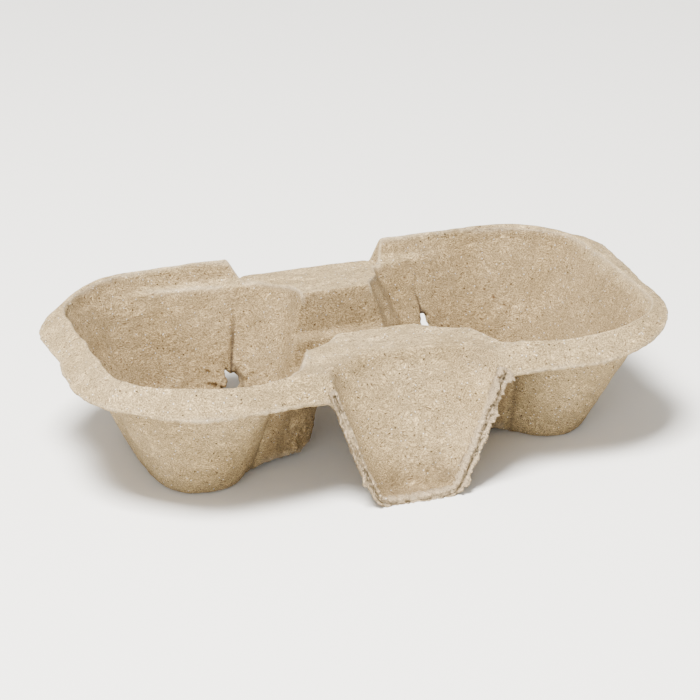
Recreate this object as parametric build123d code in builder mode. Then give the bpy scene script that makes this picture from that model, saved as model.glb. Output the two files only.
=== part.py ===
# Moulded pulp carrier for two cups: one half of a four-cup carrier, torn off at the post between the halves.
# Everything is one shell of even thickness, drawn down from a sloping rim: two tapered pockets for cups,
# a low valley between two high lands, a skirt all round, and the torn half of the middle post.
# Millimetres, +Z up. The origin is on the ground, under the middle of the carrier; the torn post faces -Y.
import os
from math import cos, radians, tan

from build123d import *

os.makedirs("parts", exist_ok=True)

# The shell
wall = 2.3              # thickness of the pulp
draft = 22              # lean of the moulded walls off the vertical, degrees

# The rim: a crest that climbs slightly from front to back, and a skirt that slopes down and out from it
crest_front = 47.0      # height of the crest over the front wall of the pockets
crest_rise = 4.0        # extra height of the crest over the back wall
crest_land = 0.12       # flat top of the crest, past the thickness of the wall
skirt_reach = 5.2       # how far the skirt stands out from the crest, in plan
skirt_drop = 8.0        # how far the edge of the skirt lies below the crest

# The pockets, in plan at the height of the front crest
pocket_inner = 11.0     # side next to the valley, from the middle of the carrier
pocket_outer = 99.5     # far side, from the middle of the carrier
pocket_front = -53.5
pocket_back = 53.5
corner_front = 32.0     # rounding of the outer front corner
corner_back = 37.0      # rounding of the outer back corner
corner_land = 15.0      # rounding beside the back land
corner_saddle = 7.0     # rounding of the two corners beside the saddle

# The front land, or saddle, and the back land: each lies below the crest, in a notch with leaning sides
saddle_wide = 46.0      # where the front wall turns along the saddle, from the middle
saddle_tip = -16.5      # how far back the saddle reaches
saddle_fall = 1.5       # how far it lies below the front crest
back_land_front = 21.0
back_land_fall = 7.5    # how far its back edge lies below the back crest
back_land_climb = 3.0   # how much higher its front edge is
notch_half = 26.0       # half the width of each notch at its bottom
notch_lean = 0.62       # how much wider it gets on each side per millimetre of height

# The valley between the lands, with a ledge along the foot of its back wall
valley_height = 22.0
ledge_height = 31.5
ledge_deep = 5.0
back_wall_draft = 7     # the valley's back wall stands almost upright, degrees

# The torn post, half of a funnel
post_half_top = 33.5    # half its width at the height of the saddle
post_half_foot = 13.6
post_deep_top = 18.0    # from the tear back to the middle of its wall, at the saddle
post_deep_foot = 3.5
tear = -57.0            # plane of the tear
foot_lip = 3.0          # how far the floor of the post stands out past the tear

# The slits in the back walls of the pockets
slit_place = 35.7       # from the middle of the carrier
slit_top = 33.0
slit_opens = 24.0       # below this height the slit spreads
slit_low = 4.0
slit_gap = 1.0
slit_spread = 8.0       # its width at the lower end

plan_wall = wall / cos(radians(draft))
pocket_x = (pocket_inner + pocket_outer) / 2
pocket_y = (pocket_front + pocket_back) / 2
pocket_depth = pocket_back - pocket_front
pocket_half = (pocket_outer - pocket_inner + pocket_depth) / 4
saddle_height = crest_front - saddle_fall
back_land_height = crest_front + crest_rise - back_land_fall
above = crest_front + crest_rise + 10
clear = 30.0            # how far the cutting shapes reach past the carrier


def crest_plane(lower=0.0):
    """The sloping plane of the crest, or one that lies lower by a given distance."""
    slope = crest_rise / pocket_depth
    height = crest_front - slope * pocket_front - lower
    return Plane(origin=(0, 0, height), x_dir=(1, 0, 0), z_dir=(0, -slope, 1))


def rim_outline(plane, grow):
    """The outline round both pockets, grown outwards."""
    with BuildSketch(plane) as outline:
        with Locations((0, pocket_y)):
            Rectangle(2 * pocket_outer, pocket_depth)
        fillet(outline.vertices().group_by(Axis.Y)[0], corner_front)
        fillet(outline.vertices().group_by(Axis.Y)[-1], corner_back)
        offset(amount=grow)
    return outline.sketch


def rim_form(inset, lower=0.0):
    """The solid under the crest and the skirt; inset gives the same form one wall further in."""
    crest_grow = plan_wall + crest_land - inset * skirt_reach / (skirt_drop + skirt_reach)
    with BuildPart() as form:
        add(rim_outline(crest_plane(lower + inset), crest_grow))
        add(rim_outline(crest_plane(lower + inset + skirt_drop), crest_grow + skirt_reach))
        loft()
    return form.part


def notch_section(y, low, inset):
    """Cross-section of a notch; inset lowers and widens it by one wall."""
    half_low = notch_half + inset
    half_high = half_low + notch_lean * (above - low + inset)
    with BuildSketch(Plane.XZ.offset(-y)) as section:
        Polygon(
            (-half_low, low - inset),
            (half_low, low - inset),
            (half_high, above),
            (-half_high, above),
            align=None,
        )
    return section.sketch


def notch_form(inset):
    """What is missing over the two lands. The saddle is level; the back land falls towards the rim."""
    climb = back_land_climb / (pocket_back - back_land_front)
    with BuildPart() as form:
        add(notch_section(pocket_front - clear, saddle_height, inset))
        add(notch_section(0, saddle_height, inset))
        loft()
        add(notch_section(0, back_land_height + climb * pocket_back, inset))
        add(notch_section(pocket_back + clear, back_land_height - climb * clear, inset))
        loft()
    return form.part


def pocket_outline(plane, height, grow):
    """The right pocket in plan; below the crest it is drawn in towards its middle."""
    drawn = 1 - (crest_front - height) * tan(radians(draft)) / pocket_half
    corners = (
        (saddle_wide, pocket_front, corner_saddle),
        (pocket_outer, pocket_front, corner_front),
        (pocket_outer, pocket_back, corner_back),
        (pocket_inner, pocket_back, corner_land),
        (pocket_inner, saddle_tip, corner_saddle),
    )
    points = [(pocket_x + (x - pocket_x) * drawn, pocket_y + (y - pocket_y) * drawn) for x, y, _ in corners]
    radii = [radius * drawn for _, _, radius in corners]
    with BuildSketch(plane) as outline:
        with BuildLine():
            FilletPolyline(*points, radius=radii, close=True)
        make_face()
        offset(amount=grow)
    return outline.sketch


def pocket_form(floor, grow):
    """The hollow of the right pocket, or with grow the same shape with its wall."""
    with BuildPart() as form:
        add(pocket_outline(Plane.XY.offset(floor), floor, grow))
        add(pocket_outline(crest_plane(), crest_front, grow))
        loft()
        add(pocket_outline(crest_plane(), crest_front, grow))
        extrude(amount=above - crest_front)
    return form.part


def valley_form(inset):
    """The valley between the pockets, or with inset the same shape with its wall."""
    lean = tan(radians(draft))
    back_lean = tan(radians(back_wall_draft))
    half = pocket_inner + (crest_front - valley_height) * lean + inset
    steps = ((valley_height, ledge_deep), (ledge_height, 0))
    with BuildPart() as form:
        for floor, forward in steps:
            for height in (floor - inset, above):
                front = saddle_tip + (saddle_height - height) * lean - inset
                back = back_land_front - forward - (back_land_height - height) * back_lean + inset
                with BuildSketch(Plane.XY.offset(height)):
                    Polygon((-half, front), (half, front), (half, back), (-half, back), align=None)
            loft()
    return form.part


def post_outline(height, grow):
    """The torn post in plan at a height: a shallow arc that opens forwards."""
    share = height / saddle_height
    half = post_half_foot + (post_half_top - post_half_foot) * share
    deep = post_deep_foot + (post_deep_top - post_deep_foot) * share
    with BuildSketch(Plane.XY.offset(height)) as outline:
        with BuildLine():
            ThreePointArc((half, tear), (0, tear + deep), (-half, tear))
            Polyline((-half, tear), (-half, tear - clear), (half, tear - clear), (half, tear))
        make_face()
        offset(amount=grow)
    return outline.sketch


def post_form(floor, grow):
    """The hollow of the post, or with grow the same shape with its wall."""
    with BuildPart() as form:
        add(post_outline(floor, grow))
        add(post_outline(above, grow))
        loft()
    return form.part


def slit_form():
    """The slit in the back wall of the right pocket: a hairline that spreads towards its foot."""
    with BuildPart() as form:
        with BuildSketch(Plane.XZ.offset(-pocket_back)):
            Polygon(
                (slit_place - slit_gap / 2, slit_top),
                (slit_place - slit_gap / 2, slit_opens),
                (slit_place - slit_spread / 2, slit_low),
                (slit_place + slit_spread / 2, slit_low),
                (slit_place + slit_gap / 2, slit_opens),
                (slit_place + slit_gap / 2, slit_top),
                align=None,
            )
        extrude(amount=pocket_back)
    return form.part


# The rim is the skin of its form, notched over the two lands
with BuildPart() as rim_inside:
    add(rim_form(wall))
    add(notch_form(wall), mode=Mode.SUBTRACT)

with BuildPart() as rim:
    add(rim_form(0))
    add(notch_form(0), mode=Mode.SUBTRACT)
    add(rim_inside.part, mode=Mode.SUBTRACT)

# Behind the back land the skirt goes on at the land's own height, between the sides of the notch
with BuildPart() as back_skirt:
    add(rim_form(0, lower=back_land_fall))
    add(rim_form(wall, lower=back_land_fall), mode=Mode.SUBTRACT)
    with Locations((0, pocket_back - 4 * wall, 0)):
        Box(
            2 * (notch_half + wall),
            clear,
            above,
            align=(Align.CENTER, Align.MIN, Align.MIN),
            mode=Mode.INTERSECT,
        )

# The post's wall ends at the tear, apart from the lip of its floor
with BuildPart() as post:
    add(post_form(0, plan_wall))
    split(bisect_by=Plane.XZ.offset(-tear), keep=Keep.BOTTOM)
    with Locations((0, tear - foot_lip, 0)):
        Box(2 * post_half_foot, 2 * foot_lip, wall, align=(Align.CENTER, Align.MIN, Align.MIN))

# Pockets, valley and post as solid forms, up to the crest and the lands
with BuildPart() as walls:
    add(pocket_form(0, plan_wall))
    mirror(about=Plane.YZ)
    add(valley_form(wall))
    add(post.part)
    split(bisect_by=crest_plane(), keep=Keep.BOTTOM)
    add(notch_form(0), mode=Mode.SUBTRACT)

# Everything that is hollow from above
with BuildPart() as hollows:
    add(pocket_form(wall, 0))
    add(slit_form())
    mirror(about=Plane.YZ)
    add(valley_form(0))
    add(post_form(wall, 0))

with BuildPart() as cup_carrier:
    add(rim.part)
    add(back_skirt.part)
    add(walls.part)
    add(hollows.part, mode=Mode.SUBTRACT)

cup_carrier.part.label = "cup_carrier"
export_step(cup_carrier.part, "parts/cup_carrier.step")
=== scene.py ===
import math

import bmesh
import bpy
import numpy as np
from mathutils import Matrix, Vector, noise


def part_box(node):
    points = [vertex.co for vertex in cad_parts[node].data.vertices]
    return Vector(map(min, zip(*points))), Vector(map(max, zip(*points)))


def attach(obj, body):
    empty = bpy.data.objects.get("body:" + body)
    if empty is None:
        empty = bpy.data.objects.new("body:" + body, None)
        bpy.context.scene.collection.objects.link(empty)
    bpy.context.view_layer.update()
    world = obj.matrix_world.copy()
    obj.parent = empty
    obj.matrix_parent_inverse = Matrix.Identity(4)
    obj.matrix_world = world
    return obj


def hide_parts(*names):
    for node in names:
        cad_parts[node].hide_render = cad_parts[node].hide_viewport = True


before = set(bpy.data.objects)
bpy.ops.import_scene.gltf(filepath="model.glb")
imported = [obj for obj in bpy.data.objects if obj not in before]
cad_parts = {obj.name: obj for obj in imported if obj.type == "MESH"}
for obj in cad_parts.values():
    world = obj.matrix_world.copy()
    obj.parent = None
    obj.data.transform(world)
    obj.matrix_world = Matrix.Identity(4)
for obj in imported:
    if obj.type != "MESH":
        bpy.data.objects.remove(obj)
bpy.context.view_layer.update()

# ---------------------------------------------------------------- camera
# A long lens, low and a little from the left, held level. It aims just behind the middle of the carrier, a
# little under half its height, and a small shift sets the carrier in the frame.
mm = 0.001
azimuth = math.radians(-21.54)
elevation = math.radians(21.95)
distance = 1.1616
aim = Vector((0, 5.7, 20)) * mm
away = Vector((
    math.sin(azimuth) * math.cos(elevation),
    -math.cos(azimuth) * math.cos(elevation),
    math.sin(elevation),
))
camera = bpy.data.objects.new("camera", bpy.data.cameras.new("camera"))
bpy.context.scene.collection.objects.link(camera)
camera.location = aim + away * distance
camera.rotation_euler = away.to_track_quat("Z", "Y").to_euler()
camera.data.lens = 167.9
camera.data.sensor_width = 36
camera.data.shift_x = -0.0029
camera.data.shift_y = 0.0323
camera.data.clip_end = 20
bpy.context.scene.camera = camera

# ---------------------------------------------------------------- moulded shell
# One sheet of paper pulp, drawn wet onto a wire mould and dried. Its upper side follows the mould: a map of
# contours gives the mould's height at each place in millimetres, and the sheet gets its thickness below that.
_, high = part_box("cup_carrier")
half_length = high[0] / mm
half_width = high[1] / mm
thick = 2.3
floor_top = thick
skirt_wide = 7.8            # from the crest to the edge of the skirt, in plan
crest_x = half_length - skirt_wide
crest_y = half_width - skirt_wide
pocket_x = 55.25            # middle of a pocket


def soft_min(a, b, radius):
    """The lower of two heights, with a fillet where they cross."""
    mix = np.clip(0.5 + 0.5 * (b - a) / radius, 0, 1)
    return b * (1 - mix) + a * mix - radius * mix * (1 - mix)


def soft_max(a, b, radius):
    """The higher of two heights, with a fillet where they cross."""
    return -soft_min(-a, -b, radius)


def hump(apart, reach):
    """1 at a place, and down to nearly nothing at twice the reach from it."""
    return np.exp(-(apart / reach) ** 2)


def ramp(value, zero, one):
    """0 up to one measure, 1 from another, and straight in between."""
    return np.clip((value - zero) / (one - zero), 0, 1)


def ring(degrees, points):
    """A closed contour: its distance from the pocket's middle at each angle, smooth through a few points."""
    angles = np.array([a for a, _ in points], float)
    radii = np.array([r for _, r in points], float)
    step = np.arange(-180, 180, 1.0)
    wrapped = np.concatenate((angles - 360, angles, angles + 360))
    sharp = np.interp(step, wrapped, np.tile(radii, 3))
    kernel = np.hanning(8)
    kernel /= kernel.sum()
    lap = 20
    lapped = np.concatenate((sharp[-lap:], sharp, sharp[:lap]))
    smooth = np.convolve(lapped, kernel, "same")[lap:-lap]
    return np.interp(degrees, np.append(step, 180), np.append(smooth, smooth[0]))


# A pocket's contours, as pairs of degrees and radius. 0 is towards the end of the carrier, 90 towards its
# back and 180 towards the valley.
crest_ring = (
    (-180, 44), (-160, 48), (-147, 45), (-132, 40.5), (-116, 46.5), (-104, 52.5), (-82, 54), (-54, 56.5),
    (-46, 56), (-35, 54), (-20, 47.5), (0, 44.5), (20, 47.5), (30, 51.5), (39, 54), (84, 54),
    (96, 54), (105, 55.5), (114, 58.5), (126, 59), (141, 55.5), (154, 49), (168, 45.5),
)
shoulder_ring = (
    (-180, 43), (-160, 46.5), (-147, 43.5), (-132, 39), (-116, 44.5), (-104, 50.5), (-82, 52), (-54, 54.5),
    (-46, 54), (-35, 52.5), (-20, 45.5), (0, 42.5), (20, 45.5), (30, 49), (39, 51), (62, 51),
    (84, 48), (96, 47), (112, 48.5), (119, 50.5), (126, 55), (141, 54.5), (154, 48), (168, 44.5),
)
floor_ring = (
    (-180, 31), (-165, 31.5), (-155, 31.5), (-144, 29), (-135, 26), (-120, 23), (-105, 22), (-97, 23),
    (-88, 28.5), (-80, 32), (-70, 35), (-60, 36), (-50, 34.5), (-36, 30), (-20, 26), (0, 24.5),
    (20, 25.5), (45, 29.5), (65, 34), (80, 35), (95, 32.5), (108, 28.5), (119, 26.5), (135, 29),
    (150, 31), (165, 31),
)
shoulder_height = 43.5
flank_height = 31.0
slit_angle = 122            # the slit between the back petal and the valley petal
back_petal_end = 60
pleat_angle = -105          # the crease between the foot and the valley petal
crest_front = 47
crest_climb = 4             # from the front crest to the back one


def crest_height(y):
    """The crest climbs from front to back."""
    return crest_front + crest_climb * (y + crest_y) / (2 * crest_y)


def slit_line(x, y):
    """Distance from the carrier's middle to the slit, which leans and is not the same on the two sides."""
    return np.where(x < 0, 32.5 + 0.52 * (39 - y), 39.9 + 0.44 * (39 - y))


def pocket_height(x, y):
    """Height of the pocket's wall: straight up from the floor to the shoulder, and on to the crest."""
    along = np.abs(x) - pocket_x
    away_from = np.hypot(along, y)
    degrees = np.degrees(np.arctan2(y, along))
    right = np.where(x > 0, 1, 0)
    valley_petal = np.sin(math.pi * ramp(degrees % 360, slit_angle, 360 + pleat_angle))
    back_petal = np.sin(math.pi * ramp(degrees, slit_angle, back_petal_end))

    # where the wall stands at each height: the right pocket is squarer, and each petal bulges into it
    squarer = 5.5 * right * hump(degrees - 138, 9)
    at_floor = ring(degrees, floor_ring) - 3.5 * right * hump(degrees + 55, 22)
    at_shoulder = ring(degrees, shoulder_ring) - squarer - 3.0 * valley_petal ** 0.5
    at_crest = ring(degrees, crest_ring) - squarer
    at_shoulder += 3.5 * right * hump(degrees - 86, 26)
    share = (flank_height - floor_top) / (shoulder_height - floor_top)
    steep = 0.1 * hump(degrees - 152, 15)
    pillow = 1.6 * valley_petal ** 0.6 + (2.8 - 1.4 * right) * back_petal ** 0.6
    pleat = 6 * hump(degrees - pleat_angle, 9)
    at_flank = at_floor + (at_shoulder - at_floor) * (share + steep) - pillow - pleat

    # two straight stretches below the shoulder, and above it a profile that is not the same all round
    rise = (shoulder_height - flank_height) / (at_shoulder - at_flank)
    lower = floor_top + (away_from - at_floor) * (flank_height - floor_top) / (at_flank - at_floor)
    middle = flank_height + (away_from - at_flank) * rise
    climbed = np.maximum((away_from - at_shoulder) / (at_crest - at_shoulder), 0)
    ledged = 0.1 * climbed + 0.9 * climbed ** 5
    flared = 0.45 * climbed + 0.55 * climbed ** 3
    rolled = 1 - (1 - np.minimum(climbed, 1)) ** 2 + np.maximum(climbed - 1, 0)
    profile = flared + (ledged - flared) * (1 - right) * ramp(degrees, 76, 90)
    profile = profile + (rolled - profile) * np.clip(3 * valley_petal, 0, 1)
    upper = shoulder_height + (crest_height(y) - shoulder_height) * profile
    wall = np.where(away_from < at_flank, lower, np.where(away_from < at_shoulder, middle, upper))

    # the floor is lifted below the valley petal, with a bead round its edge
    lifted = floor_top + 5.5 * valley_petal ** 0.4 * ramp(away_from, 14, 22)
    bead = 2.2 * hump(away_from - at_floor + 0.5, 1.4) * valley_petal ** 0.3
    # the upper part of the slit is pressed shut, and the pleat is a sharp fold
    pressed = ramp(y, 28, 30) * np.clip((np.where(x < 0, 42, 44) - y) / 5, 0, 1)
    groove = 4.0 * pressed * hump(np.abs(x) - slit_line(x, y), 0.65)
    pinch = 2.2 * hump(degrees - pleat_angle, 2.5) * ramp(away_from, 20, 25)
    return soft_max(wall, lifted, 2.2) - bead - groove + pinch


def rim_distance(x, y):
    """How far a place lies outside the crest, in plan."""
    front_corner = 32.0
    back_corner = np.where(x < 0, 35.0, 31.0)
    corner = np.where(y < 0, front_corner, back_corner)
    # the front rim draws back towards the post
    bow = 3.6 * np.clip((66 - np.abs(x)) / 35, 0, 2) ** 1.5
    across = np.where(y < 0, -y + bow, y)
    out_x = np.abs(x) - crest_x + corner
    out_y = across - crest_y + corner
    outside = np.hypot(np.maximum(out_x, 0), np.maximum(out_y, 0))
    return outside + np.minimum(np.maximum(out_x, out_y), 0) - corner


def skirt_width(x, y):
    """The skirt is even, but for the left end, where it was trimmed wide and wavy."""
    even = 6.8
    wide_places = (-46, -36, -27, -20, -12, -5, 4, 14, 28, 36, 46)
    wide_by = (0, 2.5, 4.0, 5.2, 4.2, 3.9, 2.2, 2.8, 3.4, 1.8, 0)
    left_end = np.interp(y, wide_places, wide_by) * ramp(-x, 92, 100)
    right_back = 1.3 * ramp(x, 60, 90) * ramp(y, -10, 10)
    return even + left_end + right_back


def top_height(x, y):
    """The rim, the two lands between the pockets, and the skirt that falls outside the crest."""
    wide = np.abs(x)
    saddle = 45.3 + 0.11 * np.maximum(wide - 30, 0)
    # the back land climbs towards the valley, and at each end, past a small dip, up to the pocket's rim
    land_back = 43.4
    land_climb = 3.2
    valley_back = 21
    past_end = np.maximum(wide - 25.5, 0)
    back_land = land_back + land_climb * (crest_y - y) / (crest_y - valley_back) + 1.7 * past_end
    back_land = back_land - 1.1 * hump(wide - 26.5, 1.8)
    level = soft_min(crest_height(y), np.where(y < 2, saddle, back_land), 1.0)
    # the right end was pressed flat, so its skirt hardly falls
    flat_end = 5.5 * ramp(x, 64, 104) ** 1.2 * (1 - 0.5 * ramp(y, 25, 55))
    front_drop = 8.6
    drop = front_drop - 1.4 * ramp(y, 0, 40) - flat_end
    starts = 0.6                # the flat of the crest, before the skirt falls
    falls = drop / (skirt_width(x, y) - starts)
    out = np.minimum(rim_distance(x, y), skirt_width(x, y) + 1.5)
    # a dent in the front rim, right of the post
    dip = 2.6 * np.exp(-((x - 36) ** 2 + (y + 43) ** 2) / 50)
    return level - dip - falls * soft_max(out - starts, np.zeros_like(out), 0.9)


def valley_height(x, y):
    """Saddle wall, valley floor, ledge and back wall, from front to back, between the two pockets."""
    places = (-40, -16.5, -7, 13.0, 14.4, 19.0, 21.0, 90)
    heights = (104, 45.5, 22, 22, 31.0, 32.0, 47.0, 565)
    return np.interp(y, places, heights) + 3 * np.maximum(np.abs(x) - 40, 0)


# The torn post's half width at each height. Its middle lies about 2 mm to the left of the carrier's.
post_levels = (-5, 0, 4, 16, 27, 40, 50, 90)
post_halves = (7, 10.5, 13.5, 19.7, 24.2, 29.6, 33.6, 50)
post_middle = -2


def post_lean(height):
    """How far the post's middle has bent to the left at a height."""
    return -3.8 * np.clip(1 - height / 42, 0, 1)


def level_on_post(x):
    """The height at which the post's wall stands at a place, seen from the front."""
    return np.interp(np.abs(x - post_middle), post_halves, post_levels)


def tear_line(height):
    """Where the post was torn through, front to back: its foot was pulled forward."""
    return -65 + 0.2 * np.clip(height, 0, 40)


def post_height(x, y):
    """Height of the torn post's wall: half a funnel, a shallow trough in plan that widens upwards.

    No formula gives the height at a place, so it is closed in on from below and above.
    """
    lowest = np.full_like(x, -5.0)
    highest = np.full_like(x, 90.0)
    halvings = 24
    for _ in range(halvings):
        middle = (lowest + highest) / 2
        half = np.interp(middle, post_levels, post_halves)
        deep = 6.5 + 0.225 * middle
        into = np.maximum(y - tear_line(middle), 0) / deep
        inside = (np.abs(x - post_lean(middle)) / half) ** 3.2 + into ** 2.2 < 1
        highest = np.where(inside, middle, highest)
        lowest = np.where(inside, lowest, middle)
    return soft_max(highest, np.full_like(x, floor_top), 1.6)


def mould_height(x, y):
    """The whole mould: the lowest of the rim, pocket, valley and post, rounded where they meet."""
    pocket_round = 0.6
    post_round = 1.0
    # the arch at the back of the valley is rounder, and most of all on the right
    arch = ramp(np.abs(x), 7, 11) * ramp(y, 6, 11)
    valley_round = 1.1 + np.where(x > 0, 6.0, 1.2) * arch
    height = soft_min(top_height(x, y), pocket_height(x, y), pocket_round)
    height = soft_min(height, valley_height(x, y), valley_round)
    return soft_min(height, post_height(x, y), post_round)


def ragged(value, grain, seed):
    """An uneven edge: smooth noise along one measure."""
    flat = np.asarray(value, float).reshape(-1)
    rough = [noise.noise(Vector((v / grain, seed, 0))) for v in flat.tolist()]
    return np.array(rough).reshape(np.shape(value))


def inside_sheet(x, y, torn_by=0, trimmed_by=0):
    """Positive on the sheet, negative past the edge of the skirt, past the tear and in the slits."""
    skirt = skirt_width(x, y) - rim_distance(x, y)
    torn = np.minimum(32.5 - np.abs(x), y - tear_line(level_on_post(x)) - torn_by)
    sheet = np.maximum(skirt + trimmed_by, np.where(y < -30, torn, -50))
    # half the slit's width, from its foot up to where it shuts, on each side of the carrier
    left_half = np.interp(y, (22, 27.5, 31.4, 32.4), (6.5, 4.6, 0.4, -1))
    right_half = np.interp(y, (22, 25, 35, 38.3, 39.1), (3.6, 3.4, 2.4, 0.3, -1))
    from_slit = np.abs(np.abs(x) - slit_line(x, y)) - np.where(x < 0, left_half, right_half)
    return np.minimum(sheet, np.where((y > 21) & (y < 42), from_slit, 5))


# A grid over the plan. Its points near an edge are moved onto it, so that edges and slits come out smooth.
cell = 0.55
across = np.arange(-half_length - 7, half_length + 3, cell)
along = np.arange(-half_width - 6, half_width + 2, cell)
x, y = np.meshgrid(across, along)
torn_by = 0.9 * ragged(x, 2.2, 3.0)
trimmed_by = 0.35 * ragged(x + y, 1.6, 8.0)
nudge = 0.05
for _ in range(3):
    inside = inside_sheet(x, y, torn_by, trimmed_by)
    slope_x = (inside_sheet(x + nudge, y, torn_by, trimmed_by) - inside) / nudge
    slope_y = (inside_sheet(x, y + nudge, torn_by, trimmed_by) - inside) / nudge
    steepness = np.maximum(slope_x ** 2 + slope_y ** 2, 0.2)
    near = np.abs(inside) < 0.7 * cell
    x = np.where(near, x - inside * slope_x / steepness, x)
    y = np.where(near, y - inside * slope_y / steepness, y)
kept = inside_sheet(x, y, torn_by, trimmed_by) > -0.2 * cell

# The under side lies the thickness away from the upper side, square to its slope.
z = mould_height(x, y)
reach = 0.25
fall_x = (mould_height(x + reach, y) - mould_height(x - reach, y)) / (2 * reach)
fall_y = (mould_height(x, y + reach) - mould_height(x, y - reach)) / (2 * reach)
under = thick / np.sqrt(fall_x ** 2 + fall_y ** 2 + 1)
upper_side = np.stack((x, y, z), axis=-1).reshape(-1, 3)
under_side = np.stack((x + under * fall_x, y + under * fall_y, z - under), axis=-1).reshape(-1, 3)

# Squares on both sides, and a strip that closes each side of a square that no other square shares.
rows, columns = x.shape
index = np.arange(rows * columns).reshape(rows, columns)
corners = (index[:-1, :-1], index[:-1, 1:], index[1:, 1:], index[1:, :-1])
square = np.stack(corners, axis=-1).reshape(-1, 4)
square = square[kept.reshape(-1)[square].all(axis=1)]
sides = np.concatenate([square[:, (i, (i + 1) % 4)] for i in range(4)])
codes = sides[:, 0] * index.size + sides[:, 1]
returned = sides[:, 1] * index.size + sides[:, 0]
first, second = sides[~np.isin(codes, returned)].T
edge = np.column_stack((second, first, first + index.size, second + index.size))
faces = np.concatenate((square, square[:, ::-1] + index.size, edge))

sheet_mesh = bpy.data.meshes.new("pulp_shell")
sheet_mesh.from_pydata((np.concatenate((upper_side, under_side)) * mm).tolist(), [], faces.tolist())
shell = bpy.data.objects.new("pulp_shell", sheet_mesh)
bpy.context.scene.collection.objects.link(shell)
bpy.ops.object.select_all(action="DESELECT")
bpy.context.view_layer.objects.active = shell
shell.select_set(True)
bpy.ops.object.mode_set(mode="EDIT")
bpy.ops.mesh.select_all(action="SELECT")
bpy.ops.mesh.delete_loose()
bpy.ops.object.mode_set(mode="OBJECT")


def apply_modifier(kind, **settings):
    """Add a modifier to the shell with these settings, and apply it at once."""
    modifier = shell.modifiers.new(kind.lower(), kind)
    for name, value in settings.items():
        setattr(modifier, name, value)
    bpy.ops.object.modifier_apply(modifier=modifier.name)


def read_vectors(items, name):
    """One vector for each vertex, its place or its normal, as the rows of an array."""
    flat = np.empty(len(items) * 3)
    items.foreach_get(name, flat)
    return flat.reshape(-1, 3)


apply_modifier("REMESH", mode="VOXEL", voxel_size=0.56 * mm)
apply_modifier("SMOOTH", factor=0.5, iterations=3)

# The pulp crumpled where the petals were pushed apart, and low down on the post.
crumples = (
    # middle, reach and depth of a crumpled place
    ((-41, 28, 12), 9, 1.7), ((-30, 25, 10), 9, 1.6), ((43, 28, 16), 9, 1.2), ((4, -57, 8), 9, 0.9),
    ((33, -42, 44), 7, 0.6), ((-30, -17, 5), 10, 1.5), ((32, -17, 5), 10, 1.2), ((-100, -10, 40), 14, 0.25),
)
spots = read_vectors(shell.data.vertices, "co") / mm
turned = read_vectors(shell.data.vertex_normals, "vector")
crumpled = np.zeros(len(spots))
for middle, crumple_reach, depth in crumples:
    crumpled += depth * hump(np.linalg.norm(spots - np.array(middle), axis=1), crumple_reach)
for i in np.nonzero(crumpled > 0.03)[0].tolist():
    at = Vector(spots[i])
    folds = 0.6 - 2.2 * abs(noise.noise(at / 4.5)) + 0.7 * noise.noise(at / 1.8)
    spots[i] += turned[i] * crumpled[i] * folds
shell.data.vertices.foreach_set("co", (spots * mm).reshape(-1))
shell.data.update()

# It sagged a little as it dried, and it is lumpy. What this takes below the ground is laid flat on it.
for name, grain, depth in (("sag", 16, 0.8), ("lumps", 5, 0.4)):
    cloud = bpy.data.textures.new(name, "CLOUDS")
    cloud.noise_scale = grain * mm
    cloud.noise_depth = 1
    apply_modifier("DISPLACE", texture=cloud, texture_coords="LOCAL", strength=depth * mm, mid_level=0.5)
most_triangles = 190000
triangles = 2 * len(shell.data.polygons)
if triangles > most_triangles:
    apply_modifier("DECIMATE", ratio=most_triangles / triangles)
bpy.ops.object.shade_smooth()
places = read_vectors(shell.data.vertices, "co")
places[:, 2] = np.maximum(places[:, 2], 0)
shell.data.vertices.foreach_set("co", places.reshape(-1))

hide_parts("cup_carrier")
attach(shell, "root")

# How torn and worn each place is, and where painted highlight and painted shade fall on it, for the material
# to follow.
vx, vy, vz = places.T / mm
up = read_vectors(shell.data.vertex_normals, "vector")[:, 2]
past_crest = rim_distance(vx, vy)
from_edge = np.minimum(np.abs(inside_sheet(vx, vy)), 9)
from_pocket = np.hypot(np.abs(vx) - pocket_x, vy)
around = np.degrees(np.arctan2(vy, np.abs(vx) - pocket_x))
faces_up = np.clip(up / 0.1, 0, 1)
faces_down = np.clip(-up / 0.1, 0, 1)

# torn: the raw edge of the post
from_tear = np.maximum(vy - tear_line(level_on_post(vx)), 0)
torn = hump(from_tear, 1.0) * (np.abs(vx) < 34) * (vy < -45)

# wear and painted highlight: a painted highlight on the crest, the bead on the pocket floors and the left
# pocket's ledge, and paler wear on the skirt's edge
on_crest = hump(top_height(vx, vy) - pocket_height(vx, vy), 1.3) * ramp(vz, 42, 45)
on_skirt_edge = hump(from_edge, 0.45) * (past_crest > 2)
on_bead = 0.8 * hump(vz - 4, 1.6) * (np.abs(vx) < 46) * (np.abs(vx) > 18) * (vy < -4) * (vy > -28)
on_ledge = 0.8 * hump(from_pocket - ring(around, shoulder_ring) - 1, 1.2) * ramp(around, 80, 88)
on_ledge *= (around < 114) * (vx < 0)
wear_and_painted_highlight = np.maximum(np.maximum(on_crest, on_skirt_edge), np.maximum(on_bead, on_ledge))

# painted shade: the steep and the low faces inside the crest, all of the post and most of all its foot,
# and the under faces between the pockets are darkened with painted shade
painted_shade = np.maximum(ramp(up, 0.88, 0.68), ramp(vz, 42, 38)) * faces_up * ramp(-past_crest, 0, 1.2)
on_post = (np.abs(vx) < 31) & (vy < -38)
painted_shade = np.where(on_post, 0.3 + 0.9 * ramp(vz, 16, 0) * faces_up, painted_shade)
between = (np.abs(vx) < pocket_x - 10) & (vy > -40) & (past_crest < -8)
painted_shade = np.maximum(painted_shade, between * faces_down)
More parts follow.
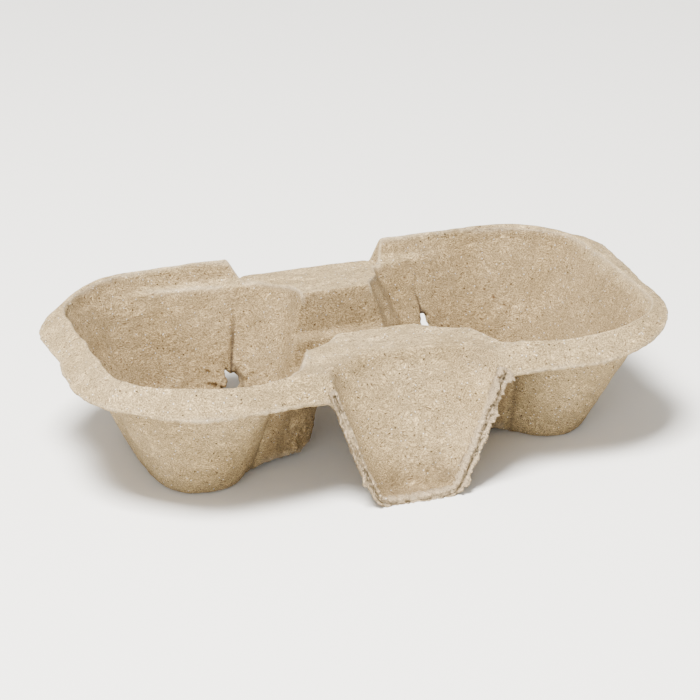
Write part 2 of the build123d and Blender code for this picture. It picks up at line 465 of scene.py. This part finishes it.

# painted crease shade: painted shade along the slits' edges, the pleats, the hairline cracks above the slits
# and the fold between the post and the rim, and a few patches of painted shade on the post, each with its
# place, radius and strength
slit_edge = hump(from_edge, 0.6) * (past_crest < -6)
pleat = hump(around - pleat_angle, 1.8) * (from_pocket < 40) * (from_pocket > 20)
crack_end = np.clip((np.where(vx < 0, 41, 43.5) - vy) / 5, 0, 1)
hairline = hump(np.abs(vx) - slit_line(vx, vy), 0.45) * (vy > 29) * crack_end
post_fold = hump(top_height(vx, vy) - post_height(vx, vy), 1.2) * (np.abs(vx) < 33) * (vy < -30)
painted_shade_patches = np.zeros(len(vx))
for patch_x, patch_z, radius, strength in (
    (8.5, 6.5, 3.5, 0.5), (-9, 5, 4, 0.35), (25, 41, 4.5, 0.28), (-27, 37, 3.5, 0.28),
):
    apart = (vx - patch_x) ** 2 + (vz - patch_z) ** 2
    painted_shade_patches += strength * np.exp(-apart / radius ** 2) * (vy < -38) * (up > 0.05)
painted_crease_shade = np.clip(0.9 * slit_edge + 0.5 * pleat + 1.3 * hairline + painted_shade_patches + 0.12 * post_fold, 0, 1)

for name, values in (("torn", torn), ("wear_and_painted_highlight", wear_and_painted_highlight), ("painted_shade", painted_shade), ("painted_crease_shade", painted_crease_shade)):
    shell.data.attributes.new(name, "FLOAT", "POINT").data.foreach_set("value", values.astype(np.float32))

# ---------------------------------------------------------------- torn edge
# Where the post was torn in two, the pulp split into layers, and their ragged lips stand forward of the tear.
# Each layer is a thin ribbon that follows the tear down one side, under the foot and up the other side.
down = np.arange(41, 2.8, -0.3)
side = np.interp(down, post_levels, post_halves)
foot = np.arange(-10.5, 10.6, 0.3)
trace = np.concatenate((
    np.column_stack((post_lean(down) - side, down)),
    np.column_stack((foot + post_lean(0), np.full_like(foot, floor_top))),
    np.column_stack((post_lean(down) + side, down))[::-1],
))
window = np.hanning(7) / np.hanning(7).sum()
padded = np.pad(trace, ((3, 3), (0, 0)), mode="edge")
trace = np.column_stack([np.convolve(padded[:, i], window, "valid") for i in (0, 1)])
way = np.gradient(trace, axis=0)
way /= np.linalg.norm(way, axis=1, keepdims=True)
outward = np.column_stack((way[:, 1], -way[:, 0]))
travel = np.concatenate(([0], np.cumsum(np.linalg.norm(np.diff(trace, axis=0), axis=1))))
layers = (
    # inner and outer face from the shell's upper side, how far it stands forward, how far it flares, seed
    (0.0, 0.9, 0.7, 0.25, 11.0),
    (1.1, 1.6, 0.1, 0.35, 23.0),
    (1.8, 2.6, 1.1, 0.9, 37.0),
)
rooted = 2.5                # how far a ribbon reaches back into the shell
fray = 0.5                  # how far each point strays, so that the lips look fibrous
fray_grain = 0.8
noise.seed_set(5)           # noise_vector takes its offsets from the clock unless it is seeded
ribbons = bmesh.new()
for inner, outer, forward, flare, seed in layers:
    long_wave = ragged(travel, 6.0, seed)
    short_wave = ragged(travel, 0.9, seed + 1)
    flaps = np.clip(ragged(travel, 4.2, seed + 2) - 0.1, 0, 1) * ramp(trace[:, 1], 4, 12)
    tip = forward + 1.5 * long_wave + 0.9 * short_wave + 2.2 * flaps
    bend = flare * (0.3 + 1.5 * long_wave + 3.0 * flaps) + 0.45 * short_wave
    bend = np.where(trace[:, 1] < 5, np.clip(bend, -0.3, 0.1), bend)
    spread = 1 + 0.4 * ramp(trace[:, 0], 0, 10) * ramp(trace[:, 1], 0, 8)
    rings = []
    for i, (px, pz) in enumerate(trace):
        front = tear_line(pz)
        section = (
            (inner, rooted), (inner + 0.2 * bend[i], -0.3 * tip[i]), (inner + 0.25 + bend[i], -tip[i]),
            (outer - 0.15 + bend[i], -tip[i] - 0.1), (outer + 0.3 * bend[i], -0.3 * tip[i]), (outer, rooted),
        )
        ring_verts = []
        for out, back in section:
            out *= spread[i]
            place = Vector((px + outward[i, 0] * out, front + back, pz + outward[i, 1] * out))
            place += fray * noise.noise_vector(place / fray_grain)
            place.z = max(place.z, 0.05)
            ring_verts.append(ribbons.verts.new(place * mm))
        rings.append(ring_verts)
    for first, second in zip(rings, rings[1:]):
        for k in range(6):
            ribbons.faces.new((first[k], first[(k + 1) % 6], second[(k + 1) % 6], second[k]))
    ribbons.faces.new(rings[0][::-1])
    ribbons.faces.new(rings[-1])
bmesh.ops.recalc_face_normals(ribbons, faces=ribbons.faces)
torn_mesh = bpy.data.meshes.new("torn_edge")
ribbons.to_mesh(torn_mesh)
ribbons.free()
torn_edge = bpy.data.objects.new("torn_edge", torn_mesh)
bpy.context.scene.collection.objects.link(torn_edge)
for polygon in torn_mesh.polygons:
    polygon.use_smooth = True
torn_all_over = np.ones(len(torn_mesh.vertices))
torn_mesh.attributes.new("torn", "FLOAT", "POINT").data.foreach_set("value", torn_all_over)
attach(torn_edge, "root")

# ---------------------------------------------------------------- moulded paper pulp
# Recycled newsprint pulp, felted onto wire and dried: dead matt, warm grey-beige, swirled with short fibres,
# peppered with dark ink and bark specks and a few bright ones, paler where it is rubbed or torn, with painted
# shade on its steep walls and in its creases and a painted highlight on its crests.


def srgb(text):
    """A colour written as sRGB hex, turned to linear."""
    parts = [int(text[i:i + 2], 16) / 255 for i in (1, 3, 5)]
    return [p / 12.92 if p <= 0.04045 else ((p + 0.055) / 1.055) ** 2.4 for p in parts] + [1]


def add_node(tree, kind, settings, links):
    """Add a node, set its properties and unlinked sockets, and link its other sockets."""
    node = tree.nodes.new("ShaderNode" + kind)
    for name, value in settings.items():
        if isinstance(name, str) and hasattr(node, name):
            setattr(node, name, value)
        else:
            node.inputs[name].default_value = value
    for name, source in links.items():
        tree.links.new(source, node.inputs[name])
    return node


def pulp_material(name, body, pale, dark, fuzz):
    """Pulp of a body colour, clouded with a darker one, pale where it is worn or a highlight is painted, dark
    where shade is painted, and rough with loose fibre.
    """
    material = bpy.data.materials.new(name)
    material.use_nodes = True
    tree = material.node_tree
    shader = tree.nodes["Principled BSDF"]
    where = add_node(tree, "TexCoord", {}, {}).outputs["Object"]
    in_mm = add_node(tree, "Mapping", {"Scale": (1000, 1000, 1000)}, {"Vector": where}).outputs[0]

    # the felt's flow swings round over 12 mm or so
    flow = add_node(tree, "TexNoise", {"Scale": 0.085, "Detail": 2}, {"Vector": in_mm}).outputs["Color"]
    centred = add_node(tree, "VectorMath", {"operation": "SUBTRACT", 1: (0.5, 0.5, 0.5)},
                       {0: flow}).outputs[0]
    swung = add_node(tree, "VectorMath", {"operation": "MULTIPLY_ADD", 1: (14, 14, 14)},
                     {0: centred, 2: in_mm}).outputs[0]

    # fibres 0.25 mm wide and 1.5 mm long, drawn coarser than the real 0.05 mm so that they show
    fibres = []
    for turn in ((0.3, 0.2, 0.5), (1.2, -0.4, 2.1), (0.1, 1.3, -0.8)):
        laid = add_node(tree, "Mapping", {"Rotation": turn, "Scale": (0.6, 3.1, 3.1)},
                        {"Vector": swung}).outputs[0]
        fibres.append(add_node(tree, "TexNoise", {"Scale": 1.0, "Detail": 3, "Roughness": 0.6},
                               {"Vector": laid}).outputs["Fac"])
    pair = add_node(tree, "Math", {"operation": "MAXIMUM"}, {0: fibres[0], 1: fibres[1]}).outputs[0]
    felt = add_node(tree, "Math", {"operation": "MAXIMUM"}, {0: pair, 1: fibres[2]}).outputs[0]
    grain = add_node(tree, "TexNoise", {"Scale": 2.3, "Detail": 2, "Roughness": 0.7},
                     {"Vector": in_mm}).outputs["Fac"]

    # colour: cloudy tone 20 mm across, then fibres and fine grain
    cloud = add_node(tree, "TexNoise", {"Scale": 0.045, "Detail": 4, "Roughness": 0.6},
                     {"Vector": in_mm}).outputs["Fac"]
    tone = add_node(tree, "MapRange", {"From Min": 0.3, "From Max": 0.7}, {"Value": cloud}).outputs[0]
    colour = add_node(tree, "Mix", {"data_type": "RGBA", 6: srgb(dark), 7: srgb(body)}, {0: tone}).outputs[2]
    fleck = add_node(tree, "MapRange", {"From Min": 0.52, "From Max": 0.72, "To Min": 0.5, "To Max": 1.42},
                     {"Value": felt}).outputs[0]
    speckle = add_node(tree, "MapRange", {"From Min": 0.34, "From Max": 0.66, "To Min": 0.52, "To Max": 1.48},
                       {"Value": grain}).outputs[0]
    gain = add_node(tree, "Math", {"operation": "MULTIPLY"}, {0: fleck, 1: speckle}).outputs[0]
    colour = add_node(tree, "VectorMath", {"operation": "SCALE"}, {0: colour, "Scale": gain}).outputs[0]

    # specks of bark, ink that lies with the fibres, and bright paper, each with its spacing and radius in mm,
    # the share of them that shows, and its colour
    inked = add_node(tree, "Mapping", {"Rotation": (0.9, 0.4, 0.2), "Scale": (0.3, 1, 1)},
                     {"Vector": swung}).outputs[0]
    specks = (
        (2.4, 0.45, 0.5, "#3A2B1C", in_mm),
        (1.3, 0.3, 0.6, "#54402C", inked),
        (1.6, 0.3, 0.4, "#F8F0E0", in_mm),
    )
    for spacing, radius, share, tint, lie in specks:
        spot = add_node(tree, "TexVoronoi", {"Scale": 1 / spacing}, {"Vector": lie})
        near = add_node(tree, "MapRange", {"From Min": radius / spacing, "From Max": 0.4 * radius / spacing},
                        {"Value": spot.outputs["Distance"]}).outputs[0]
        chance = add_node(tree, "SeparateColor", {}, {0: spot.outputs["Color"]}).outputs[0]
        chosen = add_node(tree, "Math", {"operation": "LESS_THAN", 1: share}, {0: chance}).outputs[0]
        shown = add_node(tree, "Math", {"operation": "MULTIPLY"}, {0: near, 1: chosen}).outputs[0]
        colour = add_node(tree, "Mix", {"data_type": "RGBA", 7: srgb(tint)}, {0: shown, 6: colour}).outputs[2]

    # what each place went through, and the painted shade and painted highlight on it, with its strength and
    # colour
    marks = (
        # painted shade on the steep walls, the post and the faces between the pockets
        ("painted_shade", 0.34, "#5A4020"),
        # a painted highlight on the crest, the beads and the ledge, and paler wear on the skirt's edge
        ("wear_and_painted_highlight", 0.32, pale),
        ("torn", 0.2, pale),
        # painted shade in the slits, pleats, cracks and folds, and in patches on the post
        ("painted_crease_shade", 0.85, "#3E3022"),
    )
    for mark, strength, tint in marks:
        marked = add_node(tree, "Attribute", {"attribute_name": mark}, {}).outputs["Fac"]
        shown = add_node(tree, "Math", {"operation": "MULTIPLY", 1: strength}, {0: marked}).outputs[0]
        colour = add_node(tree, "Mix", {"data_type": "RGBA", 7: srgb(tint)}, {0: shown, 6: colour}).outputs[2]
    tree.links.new(colour, shader.inputs["Base Color"])

    # relief: the felted fibres, the fine grain, and soft lumps 3 mm across
    lumps = add_node(tree, "TexNoise", {"Scale": 0.34, "Detail": 3, "Roughness": 0.55},
                     {"Vector": in_mm}).outputs["Fac"]
    relief = add_node(tree, "Math", {"operation": "MULTIPLY_ADD", 1: 1.3}, {0: felt, 2: lumps}).outputs[0]
    relief = add_node(tree, "Math", {"operation": "MULTIPLY_ADD", 1: fuzz}, {0: grain, 2: relief}).outputs[0]
    bump = add_node(tree, "Bump", {"Strength": 1.0, "Distance": 0.001}, {"Height": relief}).outputs[0]
    tree.links.new(bump, shader.inputs["Normal"])
    shader.inputs["Roughness"].default_value = 0.95
    shader.inputs["IOR"].default_value = 1.47
    shader.inputs["Specular IOR Level"].default_value = 0.25
    return material


shell.data.materials.append(pulp_material("moulded_paper_pulp", "#CEB385", "#DFCDAD", "#BCA173", 0.5))
torn_mesh.materials.append(pulp_material("torn_paper_pulp", "#CDB38A", "#DFCCAE", "#B69B72", 1.0))

# ---------------------------------------------------------------- floor and light
# A plain pale floor of matt paper in an evenly lit white room. The key is a soft light high up, a little left
# and in front of the carrier, and a weak one fills in from low down at the front left.
bpy.ops.mesh.primitive_plane_add(size=6, location=(0, 0, 0))
ground = bpy.context.object
ground.name = "ground"
paint = bpy.data.materials.new("pale_matte_paper")
paint.use_nodes = True
paper = paint.node_tree.nodes["Principled BSDF"]
paper.inputs["Base Color"].default_value = srgb("#E3E0D9")
paper.inputs["Roughness"].default_value = 0.9
ground.data.materials.append(paint)

world = bpy.data.worlds.new("studio")
world.use_nodes = True
room = world.node_tree.nodes["Background"]
room.inputs["Color"].default_value = (1, 1, 1, 1)
room.inputs["Strength"].default_value = 0.64
bpy.context.scene.world = world


def add_light(name, place, size, power):
    """A square soft light that faces the middle of the floor, its size in metres and its power in watts."""
    lamp = bpy.data.objects.new(name, bpy.data.lights.new(name, "AREA"))
    lamp.data.size = size
    lamp.data.energy = power
    lamp.location = place
    lamp.rotation_euler = Vector(place).to_track_quat("Z", "Y").to_euler()
    bpy.context.scene.collection.objects.link(lamp)


add_light("key", (-0.42, -0.32, 1.46), 0.55, 124)
add_light("fill", (-0.7, -1.15, 0.3), 1.0, 20)
